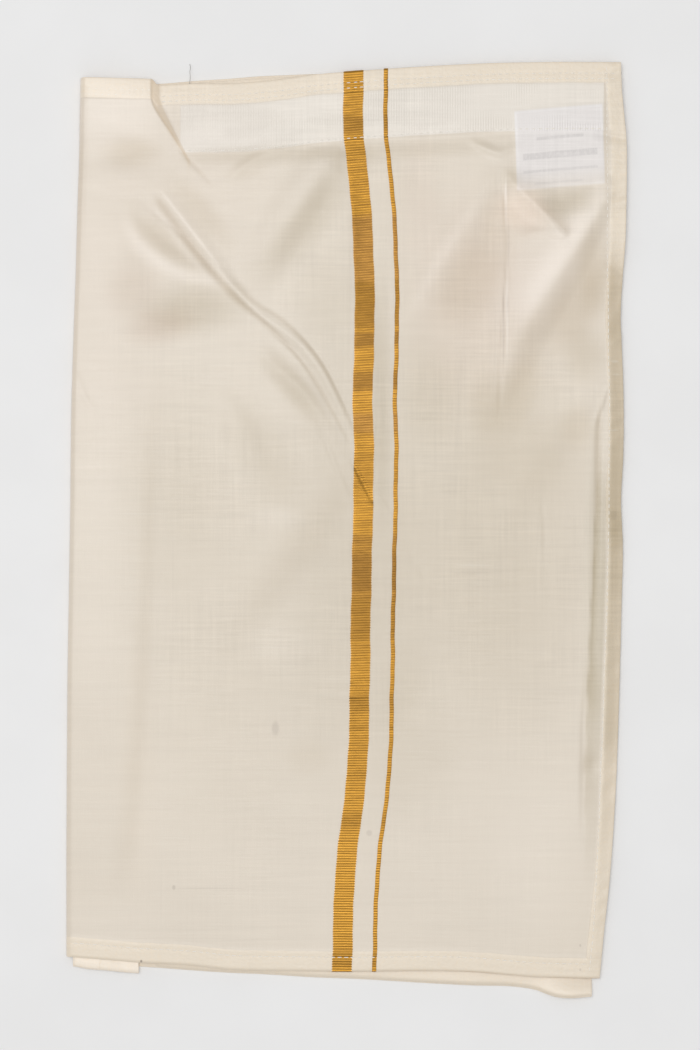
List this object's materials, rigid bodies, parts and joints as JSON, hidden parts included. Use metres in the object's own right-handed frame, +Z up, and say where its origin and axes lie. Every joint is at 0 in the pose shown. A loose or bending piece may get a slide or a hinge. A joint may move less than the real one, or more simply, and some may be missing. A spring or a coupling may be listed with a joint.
{
  "type": "folded dhoti cloth",
  "caption": "Child's dhoti cloth folded flat: cream silk-look cloth with stitched hems, a woven gold border and a narrow gold line, a waist tape and a plain care label inside.",
  "frame": {"origin": "centre of the cloth's footprint, on the surface it lies on", "axes": "+X from the left fold to the side hem, +Y from the foot hem to the waist hem, +Z up out of the front ply"},
  "size_m": [0.255, 0.425, 0.0078],
  "materials": {
    "cream_art_silk": "plain woven silk-look cloth with a soft sheen",
    "gold_zari": "ribbed metallic-thread weave, glossy",
    "white_tape": "matt woven tape",
    "label_satin": "satin label with a few plain faint bars and no lettering"
  },
  "bodies": {
    "root": {"front_panel": "cream_art_silk", "return_ply": "cream_art_silk", "rear_plies": "cream_art_silk", "zari_band_wide": "gold_zari", "zari_band_narrow": "gold_zari", "waist_tape": "white_tape", "care_label": "label_satin"}
  },
  "joints": []
}
